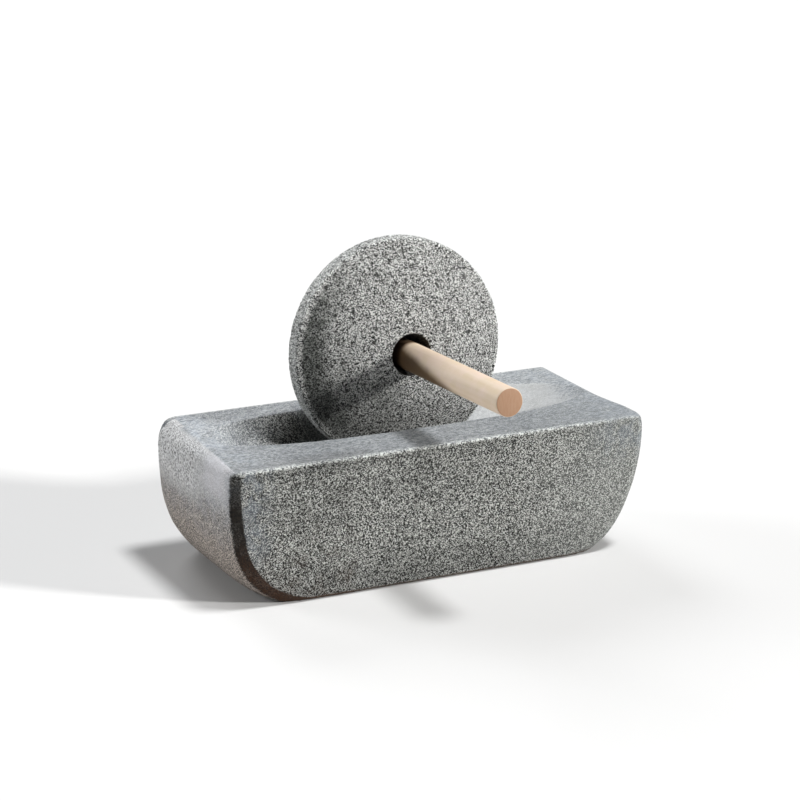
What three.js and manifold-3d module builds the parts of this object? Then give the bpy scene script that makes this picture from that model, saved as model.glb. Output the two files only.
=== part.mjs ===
// A hand roller mill of grey granite: a trough with a boat-shaped groove, a stone wheel standing on
// its rim in the groove, and a wooden bar lying in the wheel's hole.
//
// Units are millimetres. X runs along the trough, Y across it from front to back, and Z up.
// The origin is the middle of the trough's flat underside.

import * as THREE from 'three';
import { mergeVertices } from 'three/addons/utils/BufferGeometryUtils.js';
import Module from 'manifold-3d';

// Trough: the block. Its upright edges have a chamfer, wider on the ends than on the long sides,
// which narrows along the underside.
const TROUGH_WIDTH = 130;
const TROUGH_HEIGHT = 93;
const EDGE_CHAMFER = 5;
const END_CHAMFER = 6;
const BASE_EDGE_CHAMFER = 2;

// Trough: below its reach, each end falls in along a long arc, and a tighter one runs on into the
// flat underside. That is the outline of the front and back faces. Between them the lower end is
// fuller than its outline, like a hull, by up to the fullness at the underside. Where an end meets
// the top it is rounded, more so towards the back.
const END_REACH = 151.4;
const FULLNESS_POWER = 4.8;
const LEFT_END = { reachHeight: 85, longRadius: 220, tightRadius: 58, fullness: 10.5 };
const RIGHT_END = { reachHeight: 84, longRadius: 122, tightRadius: 52.5, fullness: 5 };
const LEFT_TOP_RADIUS = { front: 4.5, back: 14 };
const RIGHT_TOP_RADIUS = { front: 4, back: 10 };

// Trough: the groove is deepest in the middle, and its tails run out at the block's two ends.
const GROOVE_DEPTH = 31.8;
const GROOVE_MOUTH = 69.5;
const GROOVE_LENGTH = 284;
const GROOVE_SET_BACK = 8.5;

// Wheel: thick at the hub, with a narrow flat rim. Its hole was cut from both faces, so it is
// narrowest half way through. The wheel leans back a little where it stands.
const WHEEL_RADIUS = 75.3;
const HUB_THICKNESS = 50;
const RIM_THICKNESS = 13.6;
const RIM_ROUNDING = 1;
const HOLE_RADIUS = 11.3;
const HOLE_MOUTH_RADIUS = 14.2;
const HOLE_STRAIGHT_LENGTH = 12;
const WHEEL_LEAN = THREE.MathUtils.degToRad(3.2);

// Handle: a straight dowel, lying on the bottom of the wheel's hole. It is pushed a little to the
// front, where it reaches this far from the wheel's middle, and its front end hangs a little.
const HANDLE_RADIUS = 9.7;
const HANDLE_LENGTH = 290;
const HANDLE_FRONT_REACH = 159;
const HANDLE_END_ROUNDING = 1;
const HANDLE_SAG = THREE.MathUtils.degToRad(0.6);

// What rests on something keeps this much air below it.
const REST_GAP = 0.3;

// How finely the round shapes are cut into facets.
const END_ARC_STEPS = 6;
const TOP_ARC_STEPS = 3;
const STEPS_ACROSS_ENDS = 12;
const GROOVE_STEPS_ALONG = 64;
const GROOVE_STEPS_ACROSS = 24;
const WHEEL_STEPS_AROUND = 72;
const WHEEL_FACE_STEPS = 6;
const HANDLE_STEPS_AROUND = 32;
const ROUNDING_STEPS = 2;
const HOLE_FLARE_STEPS = 3;

const wasm = await Module();
wasm.setup();

function toSolid(geometry) {
  const bare = geometry.clone();
  bare.deleteAttribute('normal');
  bare.deleteAttribute('uv');
  const merged = mergeVertices(bare);
  const vertProperties = new Float32Array(merged.attributes.position.array);
  const triVerts = new Uint32Array(merged.index.array);
  return new wasm.Manifold(new wasm.Mesh({ numProp: 3, vertProperties, triVerts }));
}

function toGeometry(solid) {
  const mesh = solid.getMesh();
  const geometry = new THREE.BufferGeometry();
  geometry.setAttribute('position', new THREE.BufferAttribute(mesh.vertProperties, 3));
  geometry.setIndex(new THREE.BufferAttribute(mesh.triVerts, 1));
  geometry.computeVertexNormals();
  return geometry;
}

// One end of the block, seen from the front in X and Z: from the underside up, each arc touching the
// next one, and then upright.
function endOutline(end, top, bottom) {
  const longCentreX = END_REACH - end.longRadius;
  const tightCentreZ = bottom + end.tightRadius;
  const centresApart = end.longRadius - end.tightRadius;
  const centresHeight = end.reachHeight - tightCentreZ;
  const centresAlong = Math.sqrt(centresApart ** 2 - centresHeight ** 2);
  const meeting = Math.atan2(-centresHeight, centresAlong);
  const outline = new THREE.Path();
  outline.absarc(longCentreX + centresAlong, tightCentreZ, end.tightRadius, -Math.PI / 2, meeting);
  outline.absarc(longCentreX, end.reachHeight, end.longRadius, meeting, 0);
  outline.lineTo(END_REACH, top);
  return outline.getPoints(END_ARC_STEPS);
}

// How much further out an end is, at a height and a place across the width, than its outline.
function endFullness(end, y, z) {
  const below = THREE.MathUtils.clamp(1 - z / end.reachHeight, 0, 1);
  const inner = 1 - (Math.abs(y) / (TROUGH_WIDTH / 2)) ** FULLNESS_POWER;
  return end.fullness * below * inner;
}

// The block with chamfered edges all round. It runs on past the top, so that the long top edges stay
// sharp once it is cut off, and past the underside, so that only a narrow chamfer is left there.
function chamferedBlock() {
  const top = TROUGH_HEIGHT + 2 * END_CHAMFER;
  const bottom = BASE_EDGE_CHAMFER - END_CHAMFER;
  const right = endOutline(RIGHT_END, top, bottom);
  const left = endOutline(LEFT_END, top, bottom).reverse();
  const mirrored = left.map((point) => new THREE.Vector2(-point.x, point.y));
  const geometry = new THREE.ExtrudeGeometry(new THREE.Shape([...right, ...mirrored]), {
    depth: TROUGH_WIDTH - 2 * EDGE_CHAMFER,
    steps: STEPS_ACROSS_ENDS,
    bevelThickness: EDGE_CHAMFER,
    bevelSize: END_CHAMFER,
    bevelOffset: -END_CHAMFER,
    bevelSegments: 1,
  });
  geometry.translate(0, 0, EDGE_CHAMFER - TROUGH_WIDTH / 2);
  geometry.rotateX(Math.PI / 2);
  const corners = geometry.attributes.position;
  for (let i = 0; i < corners.count; i += 1) {
    const x = corners.getX(i);
    const end = x < 0 ? LEFT_END : RIGHT_END;
    corners.setX(i, x + Math.sign(x) * endFullness(end, corners.getY(i), corners.getZ(i)));
  }
  return toSolid(geometry);
}

// The flat underside, the flat top and its rounded ends, as a solid that is wider than the block
// everywhere else. The rounding is made with one radius, and then drawn out from or pushed into the
// corner to suit the place across the width.
function topAndUnderside() {
  const margin = 30;
  const depth = TROUGH_WIDTH + 2 * EDGE_CHAMFER;
  const radius = 10;
  const cornerX = END_REACH - radius;
  const cornerZ = TROUGH_HEIGHT - radius;
  const shape = new THREE.Shape();
  shape.moveTo(-END_REACH - margin, 0);
  shape.lineTo(END_REACH + margin, 0);
  shape.lineTo(END_REACH + margin, cornerZ - margin);
  shape.absarc(cornerX, cornerZ, radius, 0, Math.PI / 2);
  shape.absarc(-cornerX, cornerZ, radius, Math.PI / 2, Math.PI);
  shape.lineTo(-END_REACH - margin, cornerZ - margin);
  const geometry = new THREE.ExtrudeGeometry(shape, {
    depth,
    bevelEnabled: false,
    curveSegments: TOP_ARC_STEPS,
  });
  geometry.translate(0, 0, -depth / 2);
  geometry.rotateX(Math.PI / 2);
  const corners = geometry.attributes.position;
  for (let i = 0; i < corners.count; i += 1) {
    const x = corners.getX(i);
    const z = corners.getZ(i);
    if (z > cornerZ - margin / 2) {
      const ends = x < 0 ? LEFT_TOP_RADIUS : RIGHT_TOP_RADIUS;
      const scale = (corners.getY(i) < 0 ? ends.front : ends.back) / radius;
      const cornerOfBlock = Math.sign(x) * END_REACH;
      corners.setX(i, cornerOfBlock + (x - cornerOfBlock) * scale);
      corners.setZ(i, TROUGH_HEIGHT + (z - TROUGH_HEIGHT) * scale);
    }
  }
  return toSolid(geometry);
}

// Height of the groove's surface above the underside. Every cross-section is a parabola. Its depth
// falls off as a parabola too, while the mouth keeps most of its width until near the tails.
function grooveHeight(x, y) {
  const along = Math.abs(x) / (GROOVE_LENGTH / 2);
  const across = (y - GROOVE_SET_BACK) / (GROOVE_MOUTH / 2);
  const depth = GROOVE_DEPTH * (1 - along ** 2);
  const opening = (1 + along) / (1 + along + along ** 2);
  return TROUGH_HEIGHT - depth + GROOVE_DEPTH * opening * across ** 2;
}

// What the groove takes away: a box whose lower face follows the groove's surface.
function grooveCutter() {
  const clearance = 15;
  const length = GROOVE_LENGTH + 2 * clearance;
  const width = GROOVE_MOUTH + clearance;
  const box = new THREE.BoxGeometry(length, width, 1, GROOVE_STEPS_ALONG, GROOVE_STEPS_ACROSS, 1);
  const corners = box.attributes.position;
  for (let i = 0; i < corners.count; i += 1) {
    const y = corners.getY(i) + GROOVE_SET_BACK;
    const floor = Math.min(grooveHeight(corners.getX(i), y), TROUGH_HEIGHT + clearance);
    const isLower = corners.getZ(i) < 0;
    corners.setXYZ(i, corners.getX(i), y, isLower ? floor : TROUGH_HEIGHT + 2 * clearance);
  }
  return toSolid(box);
}

function troughGeometry() {
  return toGeometry(chamferedBlock().intersect(topAndUnderside()).subtract(grooveCutter()));
}

// The wheel turned about its axis, which lies along Y. The closed profile gives each point's
// distance from the axis and its place along it: out over one face, across the rim, and back.
function wheelGeometry() {
  const innerRadius = HOLE_MOUTH_RADIUS;
  const outerRadius = WHEEL_RADIUS - RIM_ROUNDING;
  const fall = (HUB_THICKNESS - RIM_THICKNESS) / 2;

  function face() {
    const points = [];
    for (let i = 0; i <= WHEEL_FACE_STEPS; i += 1) {
      const radius = THREE.MathUtils.lerp(innerRadius, outerRadius, i / WHEEL_FACE_STEPS);
      const share = (radius ** 2 - innerRadius ** 2) / (outerRadius ** 2 - innerRadius ** 2);
      points.push(new THREE.Vector2(radius, HUB_THICKNESS / 2 - fall * share));
    }
    return points;
  }

  const flareStart = HOLE_STRAIGHT_LENGTH / 2;
  const holeFlare = new THREE.QuadraticBezierCurve(
    new THREE.Vector2(HOLE_RADIUS, flareStart),
    new THREE.Vector2(HOLE_RADIUS, (flareStart + HUB_THICKNESS / 2) / 2),
    new THREE.Vector2(innerRadius, HUB_THICKNESS / 2),
  );
  const rimEdge = new THREE.Path();
  rimEdge.absarc(outerRadius, RIM_THICKNESS / 2 - RIM_ROUNDING, RIM_ROUNDING, Math.PI / 2, 0, true);
  const flare = holeFlare.getPoints(HOLE_FLARE_STEPS);
  const back = [...flare, ...face().slice(1, -1), ...rimEdge.getPoints(ROUNDING_STEPS)];
  const front = back.map((point) => new THREE.Vector2(point.x, -point.y));
  const profile = [...front, ...back.reverse(), front[0]];
  return toGeometry(toSolid(new THREE.LatheGeometry(profile, WHEEL_STEPS_AROUND)));
}

// The dowel turned about its own axis, which lies along Y.
function handleGeometry() {
  const half = HANDLE_LENGTH / 2;
  const inner = HANDLE_RADIUS - HANDLE_END_ROUNDING;
  const edge = new THREE.Path();
  edge.absarc(inner, half - HANDLE_END_ROUNDING, HANDLE_END_ROUNDING, 0, Math.PI / 2);
  const top = edge.getPoints(ROUNDING_STEPS);
  const bottom = top.map((point) => new THREE.Vector2(point.x, -point.y)).reverse();
  const profile = [new THREE.Vector2(0, -half), ...bottom, ...top, new THREE.Vector2(0, half)];
  return toGeometry(toSolid(new THREE.LatheGeometry(profile, HANDLE_STEPS_AROUND)));
}

function granite(color) {
  return new THREE.MeshStandardMaterial({ color, roughness: 0.9, metalness: 0 });
}

const trough = new THREE.Mesh(troughGeometry(), granite(0x84878a));
trough.name = 'trough';

const wheel = new THREE.Mesh(wheelGeometry(), granite(0x8f9290));
wheel.name = 'wheel';

const beech = new THREE.MeshStandardMaterial({ color: 0xd9bd93, roughness: 0.6, metalness: 0 });
const handle = new THREE.Mesh(handleGeometry(), beech);
handle.name = 'handle';
handle.position.set(
  0,
  HANDLE_LENGTH / 2 - HANDLE_FRONT_REACH,
  -(HOLE_RADIUS - HANDLE_RADIUS - REST_GAP),
);
handle.rotation.x = HANDLE_SAG;

// The leaning wheel touches the groove's curved floor with both edges of its rim. That is where the
// floor's slope across equals the lean, a little in front of the groove's lowest line.
const floorCurve = GROOVE_DEPTH / (GROOVE_MOUTH / 2) ** 2;
const seatY = GROOVE_SET_BACK - Math.tan(WHEEL_LEAN) / (2 * floorCurve);
const rimRise = floorCurve * (RIM_THICKNESS / 2) ** 2 + REST_GAP;
const standing = new THREE.Group();
standing.position.set(
  0,
  seatY + (WHEEL_RADIUS + rimRise) * Math.sin(WHEEL_LEAN),
  grooveHeight(0, seatY) + (WHEEL_RADIUS + rimRise) * Math.cos(WHEEL_LEAN),
);
standing.rotation.x = -WHEEL_LEAN;
standing.add(wheel, handle);

const mill = new THREE.Group();
mill.add(trough, standing);

export default mill;
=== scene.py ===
# A hand roller mill: a granite trough, a granite wheel standing in its groove, and a wooden bar
# through the wheel. Everything is in metres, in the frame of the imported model: X along the trough,
# Y from its front to its back, Z up from the table that it stands on.

import math

import bmesh
import bpy
from mathutils import Euler, Matrix, Vector, noise


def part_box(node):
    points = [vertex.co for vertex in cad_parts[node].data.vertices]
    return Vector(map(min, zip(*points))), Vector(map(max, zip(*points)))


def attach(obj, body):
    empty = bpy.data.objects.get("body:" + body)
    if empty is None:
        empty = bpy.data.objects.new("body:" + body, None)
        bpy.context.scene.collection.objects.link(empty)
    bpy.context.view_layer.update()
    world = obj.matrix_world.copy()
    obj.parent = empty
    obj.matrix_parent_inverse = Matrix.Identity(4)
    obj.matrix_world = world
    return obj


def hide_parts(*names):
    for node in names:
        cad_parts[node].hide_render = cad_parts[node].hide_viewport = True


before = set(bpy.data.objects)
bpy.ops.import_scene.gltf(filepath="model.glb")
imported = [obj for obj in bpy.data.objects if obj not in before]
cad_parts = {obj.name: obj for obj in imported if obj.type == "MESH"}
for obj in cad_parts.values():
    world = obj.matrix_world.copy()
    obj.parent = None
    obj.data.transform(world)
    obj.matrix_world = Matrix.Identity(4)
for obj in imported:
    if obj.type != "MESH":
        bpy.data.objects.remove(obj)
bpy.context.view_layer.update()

MM = 0.001
FAINT_GLOSS = 0.35


# ---- Trough ----
# One block of grey granite. Its long sides are left rough from the saw and the point, its top and
# the groove are rubbed smooth by use, and the front bevel beside its left end has painted shade.

_, trough_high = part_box("trough")
half_width = trough_high.y
top_height = trough_high.z
END_REACH = 151.4 * MM
GROOVE_SET_BACK = 8.5 * MM
GROOVE_MOUTH = 69.5 * MM
GROOVE_EDGE = 5 * MM

TROUGH_PITCH = 1.35 * MM
TROUGH_CRYSTAL = 0.52 * MM
GRAIN_DEPTH = 0.16 * MM
WIDE_HOLLOW = 9 * MM
NARROW_HOLLOW = 2.6 * MM
FLAKE = 7 * MM
SMALL_FLAKE = 2.2 * MM
SCRATCH_SLANT = math.radians(-40)
SCRATCH_STRETCH = 2.2

# The stone's colours, from its darkest crystals to its palest, and then the tints, the dust and
# the painted light and shade.
ROUGH_STOPS = [
    (0.33, (0.001, 0.001, 0.001, 1.0)),
    (0.45, (0.012, 0.013, 0.011, 1.0)),
    (0.56, (0.1, 0.103, 0.096, 1.0)),
    (0.73, (0.53, 0.54, 0.515, 1.0)),
]
WORN_STONE = (0.3, 0.315, 0.3, 1.0)
BLUISH_STONE = (0.17, 0.195, 0.225, 1.0)
DARK_DUST = (0.17, 0.192, 0.214, 1.0)
PALE_DUST = (0.52, 0.546, 0.578, 1.0)
FINE_DUST = (0.52, 0.53, 0.535, 1.0)
TAIL_DUST = (0.37, 0.4, 0.43, 1.0)
END_DUST = (0.4, 0.39, 0.4, 1.0)
END_HIGHLIGHT = (0.72, 0.71, 0.74, 1.0)
CRUSHED_GRAIN = (0.68, 0.71, 0.68, 1.0)
BEVEL_SHADE = (0.017, 0.012, 0.0075, 1.0)
BROWN_BEVEL_SHADE = (0.05, 0.019, 0.006, 1.0)
FOOT_SHADE = (0.06, 0.036, 0.022, 1.0)
RIGHT_TINT = (0.76, 0.77, 0.78, 1.0)
WHEEL_SHADOW_TINT = (0.42, 0.42, 0.4, 1.0)
TAIL_LIGHT_TINT = (1.12, 1.12, 1.13, 1.0)
BACK_LEFT_LIGHT_TINT = (1.4, 1.4, 1.42, 1.0)
FRONT_LEFT_TINT = (0.8, 0.79, 0.78, 1.0)
END_TINT = (1.42, 1.41, 1.42, 1.0)
WARM_TINT = (0.9, 0.77, 0.67, 1.0)


def smooth(low, high, value):
    """0 below low, 1 above high and a smooth rise between, or a fall if low is above high."""
    share = min(max((value - low) / (high - low), 0.0), 1.0)
    return share * share * (3 - 2 * share)


def fine_copy(node, name, pitch):
    """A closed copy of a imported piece, with points about a pitch apart all over it."""
    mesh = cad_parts[node].data.copy()
    mesh.materials.clear()
    shape = bmesh.new()
    shape.from_mesh(mesh)
    bmesh.ops.remove_doubles(shape, verts=shape.verts, dist=0.01 * MM)
    shape.to_mesh(mesh)
    shape.free()
    piece = bpy.data.objects.new(name, mesh)
    bpy.context.scene.collection.objects.link(piece)
    evening = piece.modifiers.new("Even points", "REMESH")
    evening.mode = "VOXEL"
    evening.voxel_size = pitch
    evening.adaptivity = 0
    bpy.context.view_layer.update()
    depsgraph = bpy.context.evaluated_depsgraph_get()
    even = bpy.data.meshes.new_from_object(piece.evaluated_get(depsgraph))
    piece.modifiers.clear()
    piece.data = even
    bpy.data.meshes.remove(mesh)
    even.shade_smooth()
    return piece


def wear(piece, depth_at, rubbed_at):
    """Sinks every point straight in by the depth there, and notes how smooth the stone is there."""
    mesh = piece.data
    rubbed = mesh.attributes.new("rubbed", "FLOAT", "POINT")
    moved = []
    for vertex in mesh.vertices:
        place = vertex.co.copy()
        smoothness = rubbed_at(place, vertex.normal)
        rubbed.data[vertex.index].value = smoothness
        moved.append(place - vertex.normal * depth_at(place, smoothness))
    for vertex, place in zip(mesh.vertices, moved):
        vertex.co = place
    mesh.update()


def roughness_depth(place, coarse, fine):
    """Hollows of about 9 mm and 3 mm across in a rough face, down to the given depths."""
    wide = 0.5 + 0.5 * noise.noise(place / WIDE_HOLLOW)
    narrow = 0.5 + 0.5 * noise.noise(place / NARROW_HOLLOW)
    return coarse * wide + fine * narrow


def chip_depth(place, distance, reach, depth):
    """Flakes broken off along an edge, at a distance from it: here and there, and of many sizes."""
    uneven = noise.noise(place / FLAKE) + 0.35 * noise.noise(place / SMALL_FLAKE)
    return depth * smooth(0.0, 0.55, uneven) * smooth(reach, 0.0, distance)


def trough_rubbed(place, normal):
    """1 on the top and in the groove, and somewhat less on the two ends."""
    top = smooth(top_height - 2.0 * MM, top_height - 0.8 * MM, place.z)
    top *= smooth(0.45, 0.85, normal.z)
    across = abs(place.y - GROOVE_SET_BACK) / (GROOVE_MOUTH / 2)
    in_groove = smooth(1.1, 1.0, across) * smooth(0.35, 0.6, normal.z)
    in_groove *= smooth(50 * MM, 55 * MM, place.z)
    end = 0.35 * smooth(120 * MM, 140 * MM, abs(place.x))
    end *= smooth(half_width - 5 * MM, half_width - 6 * MM, abs(place.y))
    return max(top, in_groove, end)


def rounder_corner(inward, below, radius):
    """How far a point lies outside an edge of the given radius. The two distances are those from
    the two faces that meet at the edge."""
    inward = min(max(radius - inward, 0.0), radius)
    below = min(max(radius - below, 0.0), radius)
    return max(math.hypot(inward, below) - radius, 0.0)


def trough_depth(place, smoothness):
    """The depth of its relief, of chips along the upper edges and of the rounding of its ends."""
    rough = 1 - smoothness
    depth = roughness_depth(place, (0.06 + 0.22 * rough) * MM, (0.01 + 0.17 * rough) * MM)
    below = top_height - place.z
    beside = half_width - abs(place.y)
    front = smooth(0.0, -10 * MM, place.y)
    depth += chip_depth(place, math.hypot(beside, below), 2.2 * MM, (0.1 + 0.1 * front) * MM)
    back_share = 0.5 + 0.5 * place.y / half_width
    left_radius = (5 + 11 * back_share) * MM
    right_radius = (2 + 10 * smooth(0.0, 0.5, back_share)) * MM
    depth += rounder_corner(END_REACH + place.x, below, left_radius)
    depth += rounder_corner(END_REACH - place.x, below, right_radius)
    from_corner = math.hypot(END_REACH - place.x, half_width + place.y, below)
    depth += 1.6 * MM * smooth(12 * MM, 1 * MM, from_corner)
    return depth


class Link:
    """The output of a shader node. Sums and products of links, and of numbers, add Math nodes."""

    def __init__(self, tree, socket=None):
        self.tree = tree
        self.socket = socket

    def node(self, kind, settings=None, sockets=None, output=0):
        """Adds a node of any kind, with its settings first and then what goes into its sockets.
        A socket or an output is known by its number, or by its name where no other has that."""
        made = self.tree.nodes.new(kind)
        for name, value in (settings or {}).items():
            if name == "stops":
                ramp = made.color_ramp
                while len(ramp.elements) < len(value):
                    ramp.elements.new(1.0)
                for stop, (place, color) in zip(ramp.elements, value):
                    stop.position = place
                    stop.color = color
            else:
                setattr(made, name, value)
        for name, value in (sockets or {}).items():
            if isinstance(value, Link):
                self.tree.links.new(value.socket, made.inputs[name])
            else:
                made.inputs[name].default_value = value
        return Link(self.tree, made.outputs[output])

    def math(self, operation, first, second=0.0):
        """Adds a Math node, which the operators below use as well."""
        return self.node("ShaderNodeMath", {"operation": operation}, {0: first, 1: second})

    def __add__(self, other):
        return self.math("ADD", self, other)

    def __sub__(self, other):
        return self.math("SUBTRACT", self, other)

    def __rsub__(self, other):
        return self.math("SUBTRACT", other, self)

    def __mul__(self, other):
        return self.math("MULTIPLY", self, other)

    def __truediv__(self, other):
        return self.math("DIVIDE", self, other)

    __radd__ = __add__
    __rmul__ = __mul__

    def larger(self, other):
        return self.math("MAXIMUM", self, other)

    def size(self):
        return self.math("ABSOLUTE", self)

    def rise(self, low, high):
        """0 below low, 1 above high and a smooth rise between, or a fall if low is above high."""
        return self.node(
            "ShaderNodeMapRange",
            {"interpolation_type": "SMOOTHSTEP"},
            {"Value": self, "From Min": low, "From Max": high},
        )

    def mix(self, share, first, second, blend="MIX"):
        """Two colours mixed by a share of the second. The Mix node keeps colours in its sockets 6
        and 7 and in its output 2."""
        settings = {"data_type": "RGBA", "blend_type": blend}
        return self.node("ShaderNodeMix", settings, {0: share, 6: first, 7: second}, 2)

    def tint(self, share, first, second):
        """The first colour multiplied by the second one, by a share."""
        return self.mix(share, first, second, "MULTIPLY")

    def noise(self, place, size, detail=2.0, roughness=0.5):
        """Noise from 0 to 1 whose waves are about the given size, in metres."""
        sockets = {"Vector": place, "Scale": 1 / size, "Detail": detail, "Roughness": roughness}
        return self.node("ShaderNodeTexNoise", {"noise_dimensions": "3D"}, sockets)

    def stretch(self, place, scale):
        """A place with its X, Y and Z multiplied, to draw a pattern out along one of them."""
        settings = {"operation": "MULTIPLY"}
        return self.node("ShaderNodeVectorMath", settings, {0: place, 1: scale})

    def parts(self, vector):
        """The X, Y and Z of a vector."""
        return [self.node("ShaderNodeSeparateXYZ", None, {0: vector}, axis) for axis in "XYZ"]

    def place(self):
        """The place of a point of the piece, in metres from the frame's origin."""
        return self.node("ShaderNodeTexCoord", None, None, "Object")

    def rubbed(self):
        """How smooth the stone is at a point, as noted by wear."""
        return self.node("ShaderNodeAttribute", {"attribute_name": "rubbed"}, None, "Fac")


def grey(level):
    """A colour with no hue, or a tint that only darkens."""
    return (level, level, level, 1.0)


def new_finish(name):
    """A new material and a link with no socket, from which its nodes are added."""
    material = bpy.data.materials.new(name)
    material.use_nodes = True
    return material, Link(material.node_tree)


def finish_surface(material, color, roughness, height, depth):
    """Joins a colour, a roughness and a height to the material's own shader, with a faint gloss."""
    tree = material.node_tree
    shader = tree.nodes["Principled BSDF"]
    shader.inputs["Specular IOR Level"].default_value = FAINT_GLOSS
    tree.links.new(color.socket, shader.inputs["Base Color"])
    tree.links.new(roughness.socket, shader.inputs["Roughness"])
    bump_sockets = {"Strength": 1.0, "Distance": depth, "Height": height}
    bump = height.node("ShaderNodeBump", None, bump_sockets)
    tree.links.new(bump.socket, shader.inputs["Normal"])


def granite_grains(start, place, crystal_size, stops):
    """Crystals of about one size, each of one shade, with finer specks between them. Gives their
    colour and a height between 0 and 1."""
    drift_sockets = {"Vector": place, "Scale": 1 / crystal_size, "Detail": 1.0}
    drift = start.node("ShaderNodeTexNoise", None, drift_sockets, "Color")
    drift_sockets = {0: drift, "Scale": 0.5 * crystal_size}
    drift = start.node("ShaderNodeVectorMath", {"operation": "SCALE"}, drift_sockets)
    bent = start.node("ShaderNodeVectorMath", {"operation": "ADD"}, {0: place, 1: drift})
    crystal_sockets = {"Vector": bent, "Scale": 1 / crystal_size}
    crystal = start.node("ShaderNodeTexVoronoi", None, crystal_sockets, "Color")
    shade = start.parts(crystal)[0]
    specks = start.noise(place, 0.55 * crystal_size, 2.0, 0.7).rise(0.28, 0.72)
    patches = start.noise(place, 14 * MM, 3.0, 0.6)
    shade = shade * 0.78 + specks * 0.22 + (patches - 0.5) * 0.16
    color = start.node("ShaderNodeValToRGB", {"stops": stops}, {0: shade})
    return color, shade


trough = fine_copy("trough", "granite_trough", TROUGH_PITCH)
wear(trough, trough_depth, trough_rubbed)

trough_finish, start = new_finish("trough granite")
place = start.place()
along, across, up = start.parts(place)
rubbed = start.rubbed()

color, shade = granite_grains(start, place, TROUGH_CRYSTAL, ROUGH_STOPS)
depth_in = half_width - across.size()
cloud = start.noise(place, 9 * MM, 3.0, 0.6)
ragged = (start.noise(place, 4 * MM, 3.0, 0.7) - 0.5) * 2.4 * MM

# The long sides carry painted shade towards the table, are darker high up and just under the top,
# are worn paler at the right, and are bluish in patches at both ends.
worn_right = along.rise(30 * MM, 150 * MM)
# Painted shade towards the table, less of it at the right.
low = up.rise(40 * MM, 2 * MM) * (0.75 - worn_right * 0.4)
color = start.tint(low, color, grey(0.52))
# Darker high up, except towards the right, and just under the top.
upper_darkening = (up + ragged * 4).rise(40 * MM, 72 * MM) * along.rise(100 * MM, 10 * MM)
upper_darkening = upper_darkening + (up + ragged).rise(top_height - 10 * MM, top_height - 2 * MM) * 1.2
color = start.tint(upper_darkening * 0.25, color, grey(0.5))
color = start.mix(worn_right * 0.3, color, WORN_STONE)
bluish = along.rise(-118 * MM, -134 * MM) * up.rise(20 * MM, 45 * MM)
bluish = bluish + along.rise(95 * MM, 140 * MM) * up.rise(55 * MM, 80 * MM)
color = start.mix(bluish * cloud.rise(0.35, 0.6) * 0.45, color, BLUISH_STONE)

# The top and the groove are rubbed until the grains are level and clouded with fine pale dust. The
# dust is most of all in the right half of the groove, as painted light, and least in its left half,
# as painted shade where the wheel shades it.
crumbs = (start.noise(place, 1.6 * MM, 3.0, 0.7) - 0.5) * 0.9 * MM
top = (up + crumbs).rise(top_height - 0.55 * MM, top_height - 0.15 * MM)
over_groove = (across - GROOVE_SET_BACK).size()
over_groove = over_groove.rise(GROOVE_MOUTH / 2, GROOVE_MOUTH / 2 - GROOVE_EDGE)
in_groove = over_groove * (1 - top) * along.size().rise(140 * MM, 120 * MM)
streaks = start.noise(start.stretch(place, (0.4, 1, 1)), 1.1 * MM, 3.0, 0.65)
left = along.rise(-30 * MM, -70 * MM)
right = along.rise(30 * MM, 80 * MM)
# The dust's share, with painted shade in the groove's left half and painted light in its right half.
dust_light_and_shade = 0.6 - left * (0.04 + across.rise(20 * MM, 40 * MM) * 0.2) - left * in_groove * 0.45
dust_light_and_shade = dust_light_and_shade + right * in_groove * 0.18 + (cloud - 0.5) * 0.35
dust = start.mix(streaks.rise(0.36, 0.64), DARK_DUST, PALE_DUST)
dust = start.tint(right * (1 - in_groove) * across.rise(30 * MM, -20 * MM), dust, RIGHT_TINT)
dust = start.mix(right * in_groove * 0.8, dust, FINE_DUST)
color = start.mix(rubbed * dust_light_and_shade, color, dust)
# Painted shadow of the wheel in the groove's left half, near the wheel.
wheel_shadow = in_groove * (along + ragged * 12).rise(-86 * MM, -50 * MM) * along.rise(0.0, -25 * MM)
color = start.tint(wheel_shadow, color, WHEEL_SHADOW_TINT)
# Painted light on the groove's left tail, where the wheel's shadow fades; the tail also takes a
# little dust.
tail = in_groove * (along + ragged * 12).rise(-70 * MM, -122 * MM)
color = start.tint(tail, color, TAIL_LIGHT_TINT)
color = start.mix(tail * 0.3, color, TAIL_DUST)
# Painted light brightens the back left of the top and of the groove, which the wheel shades.
back_left_light = left * top.larger(in_groove) * across.rise(-20 * MM, 5 * MM)
color = start.tint(back_left_light, color, BACK_LEFT_LIGHT_TINT)
front_left = left * top * across.rise(-44 * MM, -58 * MM)
color = start.tint(front_left, color, FRONT_LEFT_TINT)

# The left end is rubbed as well: it has a painted highlight near its upper front corner, is
# scratched towards its back one, and is warmer and dirtier downwards. The tip of the groove isn't a
# part of it.
groove_tip = over_groove * up.rise(70 * MM, 76 * MM) * along.rise(-146 * MM, -141 * MM)
left_end = along.rise(-118 * MM, -124 * MM) * depth_in.rise(4.6 * MM, 5.4 * MM) * (1 - top)
left_end = left_end * (1 - groove_tip)
color = start.tint(left_end, color, END_TINT)
color = start.mix(left_end * 0.2, color, END_DUST)
color = start.tint(left_end * up.rise(84 * MM, 30 * MM), color, WARM_TINT)
color = start.tint(left_end * shade.rise(0.46, 0.36), color, grey(0.5))
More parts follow.
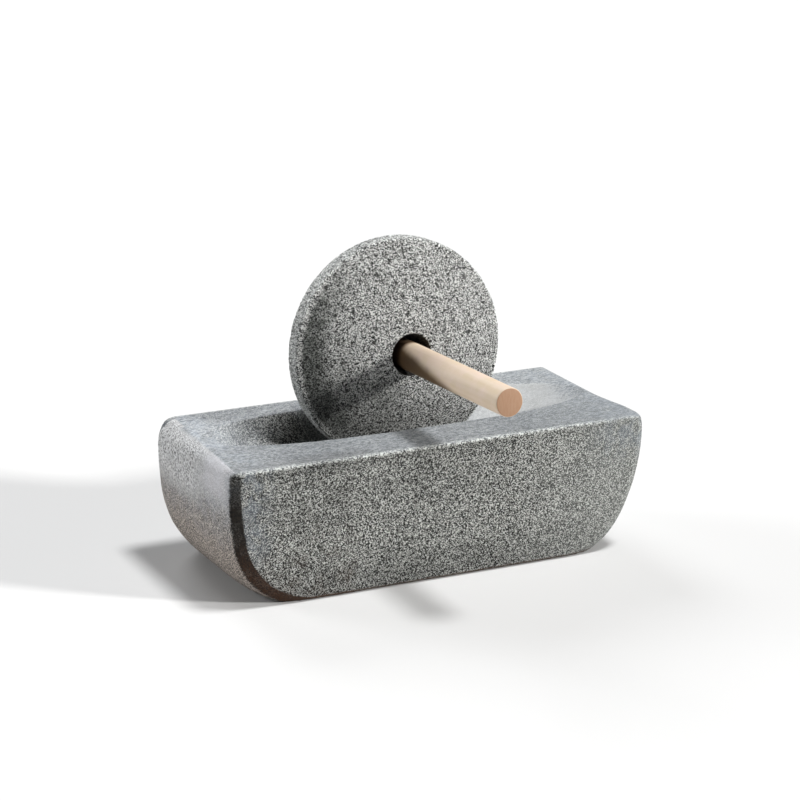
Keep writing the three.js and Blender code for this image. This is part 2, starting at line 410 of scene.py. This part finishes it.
# A painted highlight on the rounded upper front corner of the left end.
pale = (up + ragged * 3).rise(58 * MM, 80 * MM) * (across + ragged * 4).rise(-4 * MM, -30 * MM)
pale = left_end * pale * across.rise(-66 * MM, -46 * MM)
color = start.mix(pale * 0.5, color, END_HIGHLIGHT)
slanted = start.node(
    "ShaderNodeMapping",
    {"vector_type": "TEXTURE"},
    {"Vector": place, "Rotation": (SCRATCH_SLANT, 0, 0), "Scale": (1.0, 1.0, SCRATCH_STRETCH)},
)
scratches = start.noise(slanted, 0.75 * MM, 2.0, 0.6)
scratched = left_end * up.rise(50 * MM, 70 * MM) * across.rise(-30 * MM, 5 * MM)
color = start.mix(scratched * 0.55, color, grey(0.95))
color = start.tint(scratched * scratches.rise(0.46, 0.6), color, grey(0.16))

# Crushed white grains along the upper edges of the long sides, and fewer of them at the right end.
arris = (depth_in + ragged).rise(5 * MM, 1.5 * MM)
arris = arris * (up + ragged * 0.5).rise(top_height - 2.6 * MM, top_height - 1.2 * MM)
corner = along.rise(END_REACH - 6 * MM, END_REACH - 2 * MM)
corner = corner * up.rise(top_height - 5 * MM, top_height)
arris = arris.larger(corner * 0.3) * (1 - along.rise(90 * MM, 130 * MM) * 0.5)
grit = start.noise(place, 1.5 * MM, 3.0, 0.7)
color = start.mix(arris * grit.rise(0.48, 0.58) * 0.8, color, CRUSHED_GRAIN)
color = start.tint(arris * grit.rise(0.44, 0.36) * 0.8, color, grey(0.3))

# Painted shade in the front bevel beside the left end, browner downwards, and a little painted
# shade along the foot, where it meets the table.
bevel = (depth_in + ragged * 1.4).rise(6.2 * MM, 4.2 * MM) * depth_in.rise(0.1 * MM, 0.7 * MM)
bevel = bevel * across.rise(50 * MM, 30 * MM) * along.rise(-60 * MM, -70 * MM)
bevel = bevel * up.rise(top_height - 1.5 * MM, top_height - 4 * MM)
# How much painted shade the bevel takes.
bevel_shade_share = up.rise(top_height - 4 * MM, 66 * MM) * 0.35 + 0.58 + cloud.rise(0.4, 0.6) * 0.12
bevel_shade_color = start.mix(up.rise(58 * MM, 10 * MM), BEVEL_SHADE, BROWN_BEVEL_SHADE)
bevel_shade_color = start.tint(shade.rise(0.55, 0.3), bevel_shade_color, grey(0.25))
color = start.mix(bevel * bevel_shade_share, color, bevel_shade_color)
# Painted shade along the foot, where it meets the table.
foot = (up + ragged * 0.5).rise(3.2 * MM, 1.2 * MM)
color = start.mix(foot * 0.75, color, FOOT_SHADE)

roughness = 0.82 - rubbed * 0.16
finish_surface(trough_finish, color, roughness, shade * (1 - rubbed * 0.75), GRAIN_DEPTH)
trough.data.materials.append(trough_finish)

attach(trough, "root")
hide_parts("trough")


# ---- Wheel ----
# A disc of the same granite, dressed with the point and thick at the middle, with a hole cut from
# both faces. It stands on its narrow rim in the groove, leaning back, and nothing holds it there.

wheel_low, wheel_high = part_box("wheel")
wheel_radius = (wheel_high.x - wheel_low.x) / 2
wheel_middle = (wheel_low + wheel_high) / 2
WHEEL_LEAN = math.radians(3.2)
RIM_THICKNESS = 13.6 * MM
HOLE_MOUTH_RADIUS = 14.2 * MM
WHEEL_PITCH = 0.8 * MM
WHEEL_CRYSTAL = 0.48 * MM
BLOT_SPACING = 3.2 * MM
# Where the middle of the bar's painted shadow lies, left of and below the wheel's middle.
BAR_SHADOW_LEFT = 16 * MM
BAR_SHADOW_DOWN = 20 * MM

WHEEL_STOPS = [
    (0.36, (0.001, 0.001, 0.001, 1.0)),
    (0.45, (0.009, 0.01, 0.009, 1.0)),
    (0.53, (0.14, 0.144, 0.139, 1.0)),
    (0.7, (0.62, 0.627, 0.612, 1.0)),
]
BLACK_CRYSTAL = grey(0.012)
# Tints for the painted shade, the rim's painted highlight and the painted shade in the hole.
WHEEL_SHADE_TINT = (0.27, 0.28, 0.27, 1.0)
RIM_HIGHLIGHT_TINT = (1.45, 1.47, 1.47, 1.0)
HOLE_SHADE_TINT = (0.12, 0.11, 0.1, 1.0)

wheel_turn = Matrix.Rotation(WHEEL_LEAN, 3, "X")


def leaning_place(start, place, middle, lean):
    """The place of a point from a piece's own middle, with the piece's lean taken out."""
    sockets = {"Vector": place, "Location": middle, "Rotation": (-lean, 0, 0)}
    return start.node("ShaderNodeMapping", {"vector_type": "TEXTURE"}, sockets)


def wheel_parts(place):
    """The distance of a point from the wheel's axis, and its place along the axis."""
    offset = wheel_turn @ (place - wheel_middle)
    return math.hypot(offset.x, offset.z), offset.y


def wheel_rubbed(place, _normal):
    """1 on the narrow rim that rolls on the groove."""
    radius, _ = wheel_parts(place)
    return smooth(wheel_radius - 1.2 * MM, wheel_radius - 0.6 * MM, radius)


def wheel_depth(place, _smoothness):
    """The depth of its relief, least on the rim and round the hole, and of chips along the rim."""
    radius, axial = wheel_parts(place)
    on_face = smooth(wheel_radius - 0.5 * MM, wheel_radius - 5 * MM, radius)
    on_face *= smooth(HOLE_MOUTH_RADIUS, HOLE_MOUTH_RADIUS + 3 * MM, radius)
    depth = roughness_depth(place, (0.06 + 0.22 * on_face) * MM, (0.05 + 0.15 * on_face) * MM)
    rim_edge = math.hypot(wheel_radius - radius, abs(axial) - RIM_THICKNESS / 2)
    depth += chip_depth(place, rim_edge, 2.0 * MM, 0.3 * MM)
    return depth


wheel = fine_copy("wheel", "granite_wheel", WHEEL_PITCH)
wear(wheel, wheel_depth, wheel_rubbed)

wheel_finish, start = new_finish("wheel granite")
place = start.place()
rubbed = start.rubbed()
color, shade = granite_grains(start, place, WHEEL_CRYSTAL, WHEEL_STOPS)

# The wheel's own directions, outwards from its middle.
sideways, axial, upwards = start.parts(leaning_place(start, place, wheel_middle, WHEEL_LEAN))
radius = start.math("SQRT", sideways * sideways + upwards * upwards)

# Black crystals and small pits, here and there.
blot_sockets = {"Vector": place, "Scale": 1 / BLOT_SPACING}
blots = start.parts(start.node("ShaderNodeTexVoronoi", None, blot_sockets, "Color"))[1]
blot_core = start.node("ShaderNodeTexVoronoi", None, blot_sockets, "Distance").rise(0.5, 0.3)
color = start.mix(blots.rise(0.92, 0.94) * blot_core * 0.85, color, BLACK_CRYSTAL)

# Painted shade darkens the front face inside the rim, from the left round to the foot, in fine
# turns, and a painted shadow of the bar lies below the hole. The rim is painted paler, a painted
# highlight, least at the left.
around = start.node("ShaderNodeCombineXYZ", None, {0: radius, 1: sideways * 0.06})
turns = start.noise(around, 2.2 * MM, 3.0)
leftwards = (0 - sideways) / radius.larger(MM)
front_face = axial.rise(2 * MM, -2 * MM)
# Painted shade inside the rim at the left, where the face turns away from the light.
crescent = radius.rise(50 * MM, 68 * MM) * radius.rise(73 * MM, 70.5 * MM)
crescent = crescent * leftwards.rise(0.5, 0.95) * front_face
# Painted shade over the lower left of the face.
lower_left = (0 - sideways * 0.66 - upwards * 0.75).rise(12 * MM, 46 * MM)
lower_left = lower_left * (0 - sideways).rise(-6 * MM, 22 * MM) * radius.rise(73 * MM, 70 * MM)
painted_shade = crescent * (0.45 + turns * 0.8) + lower_left * 0.25
painted_shade = painted_shade * (0.7 + start.noise(place, 8 * MM, 3.0).rise(0.3, 0.7) * 0.5)
# Painted shade towards the foot.
painted_shade = painted_shade + (upwards + sideways * 0.25).rise(-12 * MM, -50 * MM) * 0.25
# A painted shadow of the bar, left of and below the hole.
bar_shadow_sockets = {0: sideways + BAR_SHADOW_LEFT, 1: upwards + BAR_SHADOW_DOWN}
bar_shadow_place = start.node("ShaderNodeCombineXYZ", None, bar_shadow_sockets)
bar_shadow = start.node("ShaderNodeVectorMath", {"operation": "LENGTH"}, {0: bar_shadow_place}, "Value")
painted_shade = painted_shade + bar_shadow.rise(19 * MM, 7 * MM) * front_face * 0.35
color = start.tint(painted_shade, color, WHEEL_SHADE_TINT)
# A painted highlight on the rim, least at the left.
rim = radius.rise(wheel_radius - 1.8 * MM, wheel_radius - 1.0 * MM)
color = start.tint(rim * (1 - leftwards.rise(0.7, 0.95) * 0.45), color, RIM_HIGHLIGHT_TINT)
# Painted shade inside the hole.
in_hole = radius.rise(HOLE_MOUTH_RADIUS + 0.4 * MM, HOLE_MOUTH_RADIUS - 0.2 * MM)
color = start.tint(in_hole, color, HOLE_SHADE_TINT)
finish_surface(wheel_finish, color, 0.85 - rubbed * 0.1, shade, GRAIN_DEPTH)
wheel.data.materials.append(wheel_finish)

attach(wheel, "root")
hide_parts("wheel")


# ---- Handle ----
# A plain beech dowel, cut square at both ends and pushed through the wheel's hole. It only lies
# there, its front end hanging a little, so it turns as the wheel rolls. It was never varnished.

handle_low, handle_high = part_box("handle")
handle_middle = (handle_low + handle_high) / 2
handle_radius = (handle_high.x - handle_low.x) / 2
HANDLE_LEAN = WHEEL_LEAN - math.radians(0.6)
handle_length = (handle_high.y - handle_low.y) / math.cos(HANDLE_LEAN)
handle_length -= 2 * handle_radius * math.tan(HANDLE_LEAN)
handle_turn = Euler((math.pi / 2 - HANDLE_LEAN, 0, 0)).to_matrix().to_4x4()
DOWEL_SIDES = 96
DOWEL_CUTS = 120
END_ROUNDING = 0.9 * MM
SANDING_DEPTH = 0.06 * MM
HANDLING_DEPTH = 0.22 * MM
PORE_DEPTH = 0.08 * MM

# How far the middle of the wheel lies behind the bar's own middle, and half its thickness there.
WHEEL_OFFSET = 14 * MM
HALF_HUB = 25 * MM

YELLOW_BEECH = (0.62, 0.495, 0.345, 1.0)
PALE_BEECH = (0.66, 0.54, 0.41, 1.0)
PINK_BEECH = (0.7, 0.555, 0.475, 1.0)
PORE_BROWN = (0.42, 0.29, 0.19, 1.0)
DARK_END_GRAIN = (0.325, 0.188, 0.112, 1.0)
PALE_END_GRAIN = (0.35, 0.21, 0.13, 1.0)
# Tints for the painted shade on the bar, out of the hole and inside it.
HANDLE_SHADE_TINT = (0.17, 0.125, 0.075, 1.0)
HANDLE_HOLE_SHADE_TINT = (0.25, 0.2, 0.15, 1.0)

shape = bmesh.new()
bmesh.ops.create_cone(
    shape,
    cap_ends=True,
    segments=DOWEL_SIDES,
    radius1=handle_radius,
    radius2=handle_radius,
    depth=handle_length,
)


def rise_of(edge):
    """How far an edge runs along the bar, which still stands upright."""
    return abs(edge.verts[0].co.z - edge.verts[1].co.z)


rims = [edge for edge in shape.edges if rise_of(edge) < MM]
bmesh.ops.bevel(
    shape,
    geom=rims,
    offset=END_ROUNDING,
    offset_type="OFFSET",
    segments=4,
    profile=0.5,
    affect="EDGES",
    material=-1,
)
long_edges = [edge for edge in shape.edges if rise_of(edge) > 100 * MM]
bmesh.ops.subdivide_edges(shape, edges=long_edges, cuts=DOWEL_CUTS, use_grid_fill=True)
for vertex in shape.verts:
    stretched = Vector((vertex.co.x, vertex.co.y, vertex.co.z * 0.04)) / (1.6 * MM)
    outward = Vector((vertex.co.x, vertex.co.y, 0)).normalized()
    handled = smooth(0.5, 1.0, abs(vertex.co.z) / (handle_length / 2))
    vertex.co -= outward * (SANDING_DEPTH * (1 + noise.noise(stretched)) + HANDLING_DEPTH * handled)
handle_place = Matrix.Translation(handle_middle) @ handle_turn
bmesh.ops.transform(shape, matrix=handle_place, verts=shape.verts)
bmesh.ops.recalc_face_normals(shape, faces=shape.faces)
mesh = bpy.data.meshes.new("beech_handle")
shape.to_mesh(mesh)
shape.free()
mesh.shade_smooth()
handle = bpy.data.objects.new("beech_handle", mesh)
bpy.context.scene.collection.objects.link(handle)

handle_finish, start = new_finish("plain beech")
place = start.place()
turned = leaning_place(start, place, handle_middle, HANDLE_LEAN)
drawn_out = start.stretch(turned, (1.0, 0.03, 1.0))
figure = start.noise(drawn_out, 5 * MM, 3.0, 0.5)
pores = start.noise(drawn_out, 0.7 * MM, 2.0, 0.6)
blotches = start.noise(place, 13 * MM, 5.0, 0.62)
color = start.mix(figure.rise(0.35, 0.65), YELLOW_BEECH, PALE_BEECH)
color = start.mix(blotches.rise(0.35, 0.7) * 0.7, color, PINK_BEECH)
color = start.mix(pores.rise(0.6, 0.8) * 0.12, color, PORE_BROWN)

# Painted shade in the hole, and on the lower left side for some way out of it, at its front and
# at its back.
sideways, lengthwise, upwards = start.parts(turned)
underside = 0 - (sideways * 0.565 + upwards * 0.825) / handle_radius
out_of_hole = (lengthwise - WHEEL_OFFSET).size() - HALF_HUB
painted_shade = underside - (out_of_hole - 17 * MM) / (58 * MM) + (blotches - 0.5) * 0.35
painted_shade = painted_shade.rise(-0.3, 0.35)
color = start.tint(painted_shade, color, HANDLE_SHADE_TINT)
# Painted shade on the part of the bar inside the hole.
in_hole = out_of_hole.rise(4 * MM, -2 * MM)
color = start.tint(in_hole, color, HANDLE_HOLE_SHADE_TINT)

# The square-cut ends show the darker end grain.
end_grain = lengthwise.size().rise(handle_length / 2 - 0.3 * MM, handle_length / 2 - 0.1 * MM)
fibres = start.noise(start.stretch(turned, (1.0, 0.1, 0.2)), 1.2 * MM, 2.0, 0.6).rise(0.3, 0.7)
cut_end = start.mix(fibres, DARK_END_GRAIN, PALE_END_GRAIN)
color = start.mix(end_grain, color, cut_end)
finish_surface(handle_finish, color, 0.62 - pores * 0.1, pores, PORE_DEPTH)
handle.data.materials.append(handle_finish)

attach(handle, "root")
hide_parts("handle")


# ---- Table, light and camera ----
# A pale table top under soft lamps, seen from the front and the left, a little from above. The
# table is wide enough to fill the view from any side.

TABLE_HALF_WIDTH = 30.0
TABLE_GREY = grey(0.66)
ROOM_LIGHT = 0.05
CAMERA_AIM = Vector((11.7, 26.6, 95.5)) * MM
CAMERA_AZIMUTH = math.radians(-26.77)
CAMERA_ELEVATION = math.radians(17.14)
CAMERA_ROLL = math.radians(0.62)
CAMERA_DISTANCE = 1.9185
CAMERA_LENS = 127.5

shape = bmesh.new()
bmesh.ops.create_grid(shape, x_segments=1, y_segments=1, size=TABLE_HALF_WIDTH)
mesh = bpy.data.meshes.new("pale_table")
shape.to_mesh(mesh)
shape.free()
table = bpy.data.objects.new("pale_table", mesh)
bpy.context.scene.collection.objects.link(table)
table_finish, _ = new_finish("pale table")
table_shader = table_finish.node_tree.nodes["Principled BSDF"]
table_shader.inputs["Base Color"].default_value = TABLE_GREY
table_shader.inputs["Roughness"].default_value = 0.9
table.data.materials.append(table_finish)


def studio_lamp(name, azimuth, elevation, spread, strength, color):
    """A far-off soft lamp. Azimuth 0 is in front of the mill and 90 to its right, in degrees, and
    so is the spread, the width of the lamp as the mill sees it."""
    turn, height = math.radians(azimuth), math.radians(elevation)
    level = math.cos(height)
    towards = Vector((math.sin(turn) * level, -math.cos(turn) * level, math.sin(height)))
    lamp = bpy.data.lights.new(name, "SUN")
    lamp.energy = strength
    lamp.angle = math.radians(spread)
    lamp.color = color
    made = bpy.data.objects.new(name, lamp)
    made.matrix_world = towards.to_track_quat("Z", "Y").to_matrix().to_4x4()
    bpy.context.scene.collection.objects.link(made)


studio_lamp("low_lamp", 48, 22, 7, 3.4, (1.0, 0.99, 0.97))
studio_lamp("high_lamp", 60, 74, 12, 2.5, (1.0, 1.0, 1.0))
studio_lamp("back_lamp", 180, 35, 25, 1.1, (0.98, 0.99, 1.0))
studio_lamp("left_lamp", 225, 16, 25, 1.5, (0.98, 0.99, 1.0))

world = bpy.data.worlds.new("room")
world.use_nodes = True
background = world.node_tree.nodes["Background"]
background.inputs["Color"].default_value = grey(1.0)
background.inputs["Strength"].default_value = ROOM_LIGHT
bpy.context.scene.world = world
bpy.context.scene.view_settings.view_transform = "Standard"

camera_data = bpy.data.cameras.new("camera")
camera_data.lens = CAMERA_LENS
camera_data.sensor_width = 36
camera_data.clip_end = 50
camera = bpy.data.objects.new("camera", camera_data)
looking = Euler((math.pi / 2 - CAMERA_ELEVATION, 0, CAMERA_AZIMUTH)).to_matrix()
looking = looking @ Matrix.Rotation(CAMERA_ROLL, 3, "Z")
backwards = looking @ Vector((0, 0, 1))
camera_place = CAMERA_AIM + backwards * CAMERA_DISTANCE
camera.matrix_world = Matrix.Translation(camera_place) @ looking.to_4x4()
bpy.context.scene.collection.objects.link(camera)
bpy.context.scene.camera = camera
